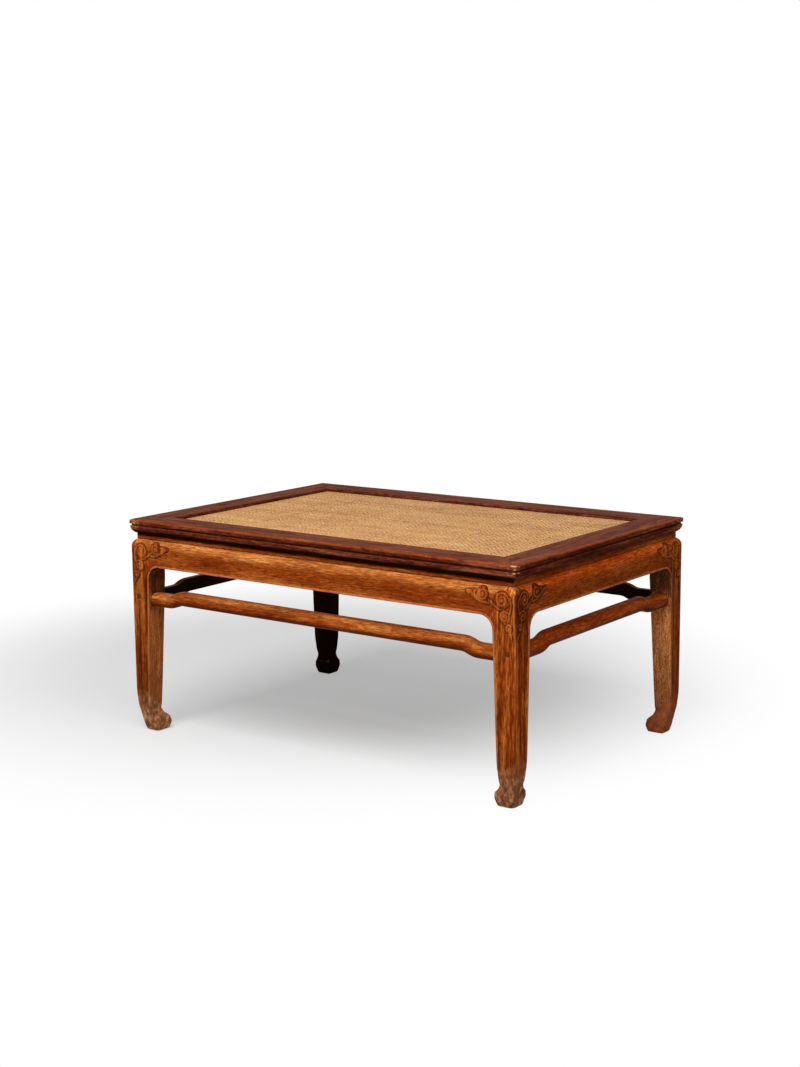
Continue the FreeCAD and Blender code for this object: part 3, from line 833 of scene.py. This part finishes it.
mat_low, mat_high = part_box("cane_mat")
mat_surface = surface_of("cane_mat")
columns = np.arange(mat_low.x + STRIP_PITCH / 2, mat_high.x, STRIP_PITCH)
rows = np.arange(mat_low.y + STRIP_PITCH / 2, mat_high.y, STRIP_PITCH)


def mat_top(x, y):
    """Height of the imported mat's upper face."""
    hit = mat_surface.ray_cast(Vector((x, y, RAY_START)), Vector((0, 0, -1)))[0]
    return hit.z


level = np.array([[mat_top(x, y) for y in rows] for x in columns])
print("strips:", len(columns), "by", len(rows), "sag:", round(float(level.max() - level.min()), 4))

# %% The twill
TWILL = 2
RUN_LENGTHS = (2, 7)
rng = np.random.default_rng(7)


def over_pattern():
    """+1 at crossings where the strip along Y lies on top, and -1 where it lies below."""
    turning = np.cumsum(rng.integers(*RUN_LENGTHS, len(columns)))
    heading = 1 - 2 * (np.searchsorted(turning, np.arange(len(columns)), side="right") % 2)
    turn = (np.cumsum(heading)[:, None] + np.arange(len(rows))[None, :]) % (2 * TWILL)
    return np.where(turn < TWILL, 1.0, -1.0)


over = over_pattern()
print("crossings with the strip along Y on top:", round(float((over > 0).mean()), 2))

# %% Split cane
FIBRE_SIZE = (0.03, 0.0007)
SUN_SIZE = (0.12, 0.07, 0.1)
CANE_GAP_REACH = 0.003


def cane(name, grain):
    """Split cane: a straw-coloured skin with fine fibres, each strip aged to its own tone."""
    finish, tree, place = new_finish(name)
    own = add(tree, "Attribute", attribute_name="strip_tone").outputs["Fac"]
    fibre = plank_noise(place, grain, *FIBRE_SIZE)
    sun = soft_noise(place, SUN_SIZE, detail=3.0)
    tone = off_middle(sun, 0.5, off_middle(fibre, 0.35, own))
    colour = ramp(tone, (0.05, 124, 76, 38), (0.45, 194, 143, 92), (0.75, 218, 170, 114),
                  (1.0, 242, 208, 162))
    # Painted shade, with dirt, in the gaps between the strips, found by ambient occlusion
    open_sky = add(tree, "AmbientOcclusion", {"Distance": CANE_GAP_REACH}, samples=4).outputs["AO"]
    gap_shade_and_dirt = sum_of("SUBTRACT", 1.0, between(open_sky, 0.05, 0.55))
    colour = stain(colour, (104, 62, 28), gap_shade_and_dirt, 0.6)
    cover(colour, 0.55, bumps(fibre, 0.4, 0.0002), gloss=0.12)
    return finish


cane_along = cane("cane along the seat", "x")
cane_across = cane("cane across the seat", "y")
print("cane finishes:", cane_along.name, cane_across.name)

# %% Weave the strips
STRIP_WIDTH = 0.0032
WIDTH_SPREAD = (0.93, 1.05)
STRIP_THICKNESS = 0.0005
STRIP_LIFT = 0.00035
STRIP_DRIFT = 0.00012
STRIP_SIDES = 3
HALVES = 2
MIDDLE_TONE, STRIP_TONES, CROSSING_TONES = 0.5, 0.09, 0.11
TONE_LIMITS = (0.05, 1.0)


def make_piece(name, points, faces, finish):
    """A piece from its points and faces."""
    mesh = bpy.data.meshes.new(name)
    mesh.from_pydata(np.asarray(points).tolist(), [], faces)
    return set_up_piece(mesh, finish)


def note_points(piece, name, values):
    """Write a number on each point of a piece, for its finish to read."""
    piece.data.attributes.new(name, "FLOAT", "POINT").data.foreach_set("value", values)


def tube_walls(count, length, sides):
    """Faces along tubes, each a run of rings with the given number of sides."""
    here = (np.arange(count)[:, None] * length + np.arange(length - 1)[None, :])[..., None] * sides
    corner = np.arange(sides)
    following = (corner + 1) % sides
    there = here + sides
    return np.stack([here + corner, here + following, there + following, there + corner], -1).reshape(-1, 4)


def ribbons(centres, sideways):
    """Corner points and faces of domed ribbons, one along each row of centre points."""
    count, length = centres.shape[:2]
    half_width = STRIP_WIDTH * rng.uniform(*WIDTH_SPREAD, (count, 1, 1)) / 2
    rise = np.array((0, 0, STRIP_THICKNESS))
    ring = np.stack([centres - sideways * half_width, centres + rise, centres + sideways * half_width], 2)
    corner = np.arange(STRIP_SIDES)
    starts = np.arange(count)[:, None] * length * STRIP_SIDES
    caps = np.concatenate([starts + corner[::-1], starts + (length - 1) * STRIP_SIDES + corner])
    return ring.reshape(-1, 3), tube_walls(count, length, STRIP_SIDES).tolist() + caps.tolist()


def weave(name, along_x, finish):
    """All the strips that run one way, bent over and under the others, in two halves."""
    middle = level - MAT_DEPTH / 2
    lift = over * STRIP_LIFT
    x, y = np.meshgrid(columns, rows, indexing="ij")
    centres = np.stack([x, y, middle - lift if along_x else middle + lift], -1)
    sideways = np.array((0.0, 1.0, 0.0) if along_x else (1.0, 0.0, 0.0))
    if along_x:
        centres = centres.transpose(1, 0, 2)
    pieces = []
    for half, strips in enumerate(np.array_split(centres, HALVES)):
        count, length = strips.shape[:2]
        drift = rng.normal(0.0, STRIP_DRIFT, (count, 1, 1))
        points, faces = ribbons(strips + sideways * drift, sideways)
        piece = make_piece(f"{name}_{half + 1}", points, faces, finish)
        tones = rng.normal(MIDDLE_TONE, STRIP_TONES, (count, 1))
        tones = tones + rng.normal(0.0, CROSSING_TONES, (count, length))
        note_points(piece, "strip_tone", np.repeat(np.clip(tones, *TONE_LIMITS).ravel(), STRIP_SIDES))
        pieces.append(piece)
    return pieces


cane_strips = weave("cane_strips_along", True, cane_along)
cane_strips += weave("cane_strips_across", False, cane_across)
print("cane faces:", [len(p.data.polygons) for p in cane_strips])

# %% [markdown]
# ## The backing of the mat
#
# Under the strips lies a thin felt of waste fibre that closes the mat. It hardly shows, but without it the
# floor would glint through the gaps of the weave. It is the piece that stands for the imported mat, and it
# lies in the rabbet of the rails, under the strips.

# %% Backing sheet
BACKING_STEPS = (47, 31)
BACKING_RISE = 0.0004


def felt_finish():
    """Matted brown fibre."""
    finish, _, place = new_finish("mat backing")
    fibre = soft_noise(place, (0.004, 0.0015, 0.01), detail=5.0, rough=0.7)
    colour = ramp(fibre, (0.3, 84, 54, 28), (0.55, 136, 98, 58), (0.8, 170, 130, 82))
    cover(colour, 0.85, bumps(fibre, 0.6, 0.0006))
    return finish


def grid_faces(number, cells):
    """Four-cornered faces in the chosen cells of a grid of numbered points."""
    i, j = np.nonzero(cells)
    return np.stack([number[i, j], number[i + 1, j], number[i + 1, j + 1], number[i, j + 1]], -1)


def lay_backing():
    """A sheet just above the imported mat's lower face."""
    inset = STRIP_PITCH / 2
    across = np.linspace(mat_low.x + inset, mat_high.x - inset, BACKING_STEPS[0])
    deep = np.linspace(mat_low.y + inset, mat_high.y - inset, BACKING_STEPS[1])
    points = [(x, y, mat_top(x, y) - MAT_DEPTH + BACKING_RISE) for x in across for y in deep]
    number = np.arange(len(points)).reshape(BACKING_STEPS)
    faces = grid_faces(number, number[:-1, :-1] >= 0).tolist()
    return make_piece("cane_mat_backing", points, faces, felt_finish())


backing = lay_backing()
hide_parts("cane_mat")

# %% [markdown]
# ## The rope net
#
# Below the mat a net of palm-fibre cord, strung through the rails, carries the sitter. From above it is
# hidden, but a stool is also picked up and turned over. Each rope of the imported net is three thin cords
# side by side; the cords have a lobed section that turns as it goes, which reads as twisted fibre without
# modelling every yarn.

# %% A twisted cord
CORD_RADIUS = 0.001
CORD_STEP = 0.0045
CORD_SIDES = 6
CORD_ENDS = np.array(((0, 1, 2, 3), (0, 3, 4, 5)))  # a six-sided end as two faces
LOBE_DEPTH = 0.22
TWIST = math.radians(38)
UP = np.array((0, 0, 1))


def cord(start, end, first_over, crossings):
    """A twisted cord from start to end that passes alternately over and under the crossings."""
    length = (end - start).length
    steps = max(2, round(length / CORD_STEP))
    share = np.linspace(0.0, 1.0, steps + 1)
    run = np.array((end - start) / length)
    side = np.array((-run[1], run[0], 0.0))
    wave = np.cos(share * (crossings - 1) * math.pi) * CORD_RADIUS * (1 if first_over else -1)
    line = np.array(start) + share[:, None] * length * run + wave[:, None] * UP
    angle = np.arange(CORD_SIDES) * 2 * math.pi / CORD_SIDES + np.arange(steps + 1)[:, None] * TWIST
    lobes = CORD_RADIUS * (1 - LOBE_DEPTH * (np.arange(CORD_SIDES) % 2))
    ring = (np.cos(angle) * lobes)[..., None] * side + (np.sin(angle) * lobes)[..., None] * UP
    points = (line[:, None, :] + ring).reshape(-1, 3)
    caps = np.concatenate([CORD_ENDS[:, ::-1], CORD_ENDS + steps * CORD_SIDES])
    return points, np.concatenate([tube_walls(1, steps + 1, CORD_SIDES), caps])


def palm_fibre():
    """Coarse brown palm fibre, hairy and dry."""
    finish, _, place = new_finish("palm fibre")
    hair = soft_noise(place, 0.0016, detail=5.0, rough=0.7)
    tone = off_middle(soft_noise(place, 0.08, detail=3.0), 0.8, hair)
    colour = ramp(tone, (0.25, 58, 36, 20), (0.5, 112, 76, 44), (0.8, 158, 118, 74))
    cover(colour, 0.9, bumps(hair, 0.7, 0.0005))
    return finish


palm = palm_fibre()
print("one turn of the cord in", round(CORD_STEP * 2 * math.pi / TWIST, 3))

# %% String the net
NET_COLUMNS, NET_ROWS = 19, 13
ROPE_WIDTH = 0.009
CORDS_PER_ROPE = 3
CORD_GAP = 0.003
net_low, net_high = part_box("palm_rope_web")
net_level = (net_low.z + net_high.z) / 2


def string_net(name, along_x):
    """Every rope that runs one way."""
    low, high = (net_low.y, net_high.y) if along_x else (net_low.x, net_high.x)
    ropes, crossings = (NET_ROWS, NET_COLUMNS) if along_x else (NET_COLUMNS, NET_ROWS)
    all_points, all_faces, start_at = [], [], 0
    for number, place in enumerate(np.linspace(low + ROPE_WIDTH / 2, high - ROPE_WIDTH / 2, ropes)):
        for thread in range(CORDS_PER_ROPE):
            aside = place + (thread - (CORDS_PER_ROPE - 1) / 2) * CORD_GAP
            ends = [Vector((rail.x, aside, net_level) if along_x else (aside, rail.y, net_level))
                    for rail in (net_low, net_high)]
            points, faces = cord(*ends, (number % 2 == 0) == along_x, crossings)
            all_points.append(points)
            all_faces.append(faces + start_at)
            start_at += len(points)
    faces = np.concatenate(all_faces).tolist()
    return make_piece(name, np.concatenate(all_points), faces, palm)


net_along = string_net("palm_cords_along", True)
net_across = string_net("palm_cords_across", False)
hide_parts("palm_rope_web")
print("net faces:", len(net_along.data.polygons) + len(net_across.data.polygons))

# %% [markdown]
# ## The carved cloud scrolls
#
# At each corner, on both faces, a chain of cloud scrolls is carved in low relief where apron and leg meet:
# a leaf on the apron, two volutes beside it, and two smaller ones that run down the leg to a point.
# Sculpting eight of them by hand would take long, and they would never match. So the relief is a height
# over the face, worked out on a fine grid from a few named shapes: a volute is a spiral ridge on a sunk
# disc, and a lobe is a swelling along a line. Each grid point is cast onto the joinery, so the carving
# follows the round shoulder of the apron, and a thin skirt stands for the cut that outlines it. The share
# of the height is kept on the points, for the finish: ridges get a painted highlight over their wear, and
# cuts get painted shade with dark wax.

# %% Volutes and lobes
RIDGE_HALF = 0.0018
DISC_SHARE, RIDGE_SHARE = 0.46, 0.54  # heights in a volute, as shares of the relief
SPIRAL_CLOSING = 0.84  # share of the radius by which the spiral closes
EYE_SHARE, EYE_CREST = 0.22, 1.3
LOBE_EDGE, LOBE_SWELL = 0.35, 0.50
# Volutes as (distance from the arris, height, radius, turns, start of the spiral, turning sense)
VOLUTES = (
    (0.0770, 0.4370, 0.0125, 1.45, 315.0, -1),
    (0.0310, 0.4280, 0.0165, 1.80, 180.0, -1),
    (0.0250, 0.3950, 0.0120, 1.45, 150.0, -1),
    (0.0155, 0.3725, 0.0080, 1.10, 150.0, -1),
)
# Lobes as runs of (distance from the arris, height, half width)
LOBES = (
    ((0.113, 0.4385, 0.0050), (0.103, 0.4365, 0.0064), (0.092, 0.4275, 0.0054), (0.078, 0.4205, 0.0044),
     (0.062, 0.4185, 0.0034)),
    ((0.096, 0.4395, 0.0040), (0.086, 0.4420, 0.0040)),
    ((0.062, 0.4260, 0.0036), (0.052, 0.4180, 0.0042), (0.040, 0.4100, 0.0036), (0.028, 0.4090, 0.0026)),
    ((0.0120, 0.4340, 0.0026), (0.0095, 0.4180, 0.0030), (0.0125, 0.4020, 0.0030)),
    ((0.0240, 0.3815, 0.0030), (0.0170, 0.3800, 0.0030)),
    ((0.0150, 0.3660, 0.0052), (0.0100, 0.3570, 0.0034), (0.0075, 0.3490, 0.0012)),
)


def volute(across, up, centre_across, centre_up, radius, turns, start, sense):
    """One volute: how deep inside its outline each point lies, and the share of the relief there."""
    du, dz = across - centre_across, up - centre_up
    distance = np.hypot(du, dz)
    angle = (sense * (np.arctan2(dz, du) - math.radians(start))) % (2 * math.pi)
    ridge = np.zeros_like(distance)
    for lap in range(math.ceil(turns)):
        wound = (angle + lap * 2 * math.pi) / (2 * math.pi * turns)
        offset = (distance - radius * (1 - SPIRAL_CLOSING * wound)) / RIDGE_HALF
        ridge = np.maximum(ridge, np.where(wound <= 1.0, np.clip(1 - offset ** 2, 0, 1), 0))
    eye = np.clip(EYE_CREST - (distance / (EYE_SHARE * radius)) ** 2, 0, 1)
    return radius + RIDGE_HALF - distance, DISC_SHARE + RIDGE_SHARE * np.maximum(ridge, eye)


def lobe(across, up, run):
    """A swelling along a run of points, with a half width at each: depth inside, and share."""
    depth, share = np.full_like(across, -1.0), np.zeros_like(across)
    for (u0, z0, w0), (u1, z1, w1) in zip(run, run[1:]):
        length_squared = (u1 - u0) ** 2 + (z1 - z0) ** 2
        along = np.clip(((across - u0) * (u1 - u0) + (up - z0) * (z1 - z0)) / length_squared, 0, 1)
        distance = np.hypot(across - u0 - along * (u1 - u0), up - z0 - along * (z1 - z0))
        half = w0 + along * (w1 - w0)
        depth = np.maximum(depth, half - distance)
        share = np.maximum(share, LOBE_EDGE + LOBE_SWELL * np.clip(1 - (distance / half) ** 2, 0, 1))
    return depth, share


print("volutes:", len(VOLUTES), "lobes:", len(LOBES))

# %% Height of the relief
GRID_STEP = 0.0006
GRID_ACROSS = (0.003, 0.124)
GRID_UP = (0.345, 0.4535)
RELIEF = 0.0015
EDGE_ROUND = 0.0016
SKIRT_WIDTH = 0.0016
SKIRT_HEIGHT = 0.00012
grid_across = np.arange(*GRID_ACROSS, GRID_STEP)
grid_up = np.arange(*GRID_UP, GRID_STEP)
field_across, field_up = np.meshgrid(grid_across, grid_up, indexing="ij")
shapes = [volute(field_across, field_up, *v) for v in VOLUTES]
in_volutes = np.max([depth for depth, _ in shapes], axis=0) > 0
for run in LOBES:
    depth, share = lobe(field_across, field_up, run)
    shapes.append((np.where(in_volutes, np.minimum(depth, 0.0), depth), share))
inside = np.max([depth for depth, _ in shapes], axis=0)
carved_share = np.max([np.where(depth > 0, share, 0.0) for depth, share in shapes], axis=0)
carved_share *= np.sqrt(np.clip(inside / EDGE_ROUND, 0.0, 1.0))
relief_height = np.maximum(carved_share * RELIEF, SKIRT_HEIGHT)
kept = inside > -SKIRT_WIDTH
print("relief points:", int(kept.sum()), "highest:", round(float(relief_height.max()), 4))

# %% Carved wood
# Shares of the relief: painted shade in the cuts below, painted highlight on the ridges above
CUT_BELOW = (0.56, 0.18)
RIDGE_ABOVE = (0.70, 0.98)


def relief_shade_and_highlight(place, grain, colour):
    """Painted shade, with dark wax, in the cuts of the carving, and a painted highlight over worn ridges."""
    share = add(place.id_data, "Attribute", attribute_name="carved").outputs["Fac"]
    colour = stain(colour, (48, 16, 5), between(share, *CUT_BELOW), 0.7)
    return stain(colour, (200, 112, 60), between(share, *RIDGE_ABOVE), 0.50)


carved_wood = hardwood("rosewood carved", "z", BODY_TONES, streak=0.011, contrast=1.2,
                       touches=(shaded_end_faces, relief_shade_and_highlight))
print("carved finish:", carved_wood.name)

# %% Carve all four corners
BACK_DEPTH = 0.002
cells = kept[:-1, :-1] & kept[1:, :-1] & kept[:-1, 1:] & kept[1:, 1:]
used = np.zeros(kept.shape, bool)
for corner_cells in (used[:-1, :-1], used[1:, :-1], used[:-1, 1:], used[1:, 1:]):
    corner_cells |= cells
number = np.full(kept.shape, -1)
number[used] = np.arange(used.sum())


def relief_faces(flipped):
    """Faces of a scroll: its carved front, its back inside the wood, and the walls round its rim."""
    quads = grid_faces(number, cells)
    if flipped:
        quads = quads[:, ::-1]
    edges = {tuple(e) for a in range(4) for e in quads[:, [a, (a + 1) % 4]].tolist()}
    rim = np.array(sorted(e for e in edges if e[::-1] not in edges))
    behind = used.sum()
    walls = np.stack([rim[:, 1], rim[:, 0], rim[:, 0] + behind, rim[:, 1] + behind], -1)
    return np.concatenate([quads, quads[:, ::-1] + behind, walls]).tolist()


def carve(side_x, side_y, on_long_side):
    """One scroll, on the long or the short face of the corner at the given signs of x and y."""
    long_side, short_side = "front" if side_y < 0 else "back", "left" if side_x < 0 else "right"
    wood = surface_of(f"apron_{long_side if on_long_side else short_side}", f"leg_{long_side}_{short_side}")
    inward = Vector((0, -side_y, 0)) if on_long_side else Vector((-side_x, 0, 0))
    front, back = [], []
    for i, j in np.argwhere(used):
        x = side_x * (face_x - grid_across[i]) if on_long_side else side_x * RAY_START
        y = side_y * RAY_START if on_long_side else side_y * (face_y - grid_across[i])
        hit = wood.ray_cast(Vector((x, y, grid_up[j])), inward)[0]
        front.append(hit - inward * relief_height[i, j])
        back.append(hit + inward * BACK_DEPTH)
    faces = relief_faces(side_x * side_y * (1 if on_long_side else -1) > 0)
    name = f"scroll_{long_side}_{short_side}_{'long' if on_long_side else 'short'}_side"
    scroll = make_piece(name, front + back, faces, carved_wood)
    note_points(scroll, "carved", np.concatenate([carved_share[used], np.zeros(len(back))]))
    return scroll


scrolls = [carve(sx, sy, face) for sx in (-1, 1) for sy in (-1, 1) for face in (True, False)]
print("scrolls:", len(scrolls), "faces each:", len(scrolls[0].data.polygons))
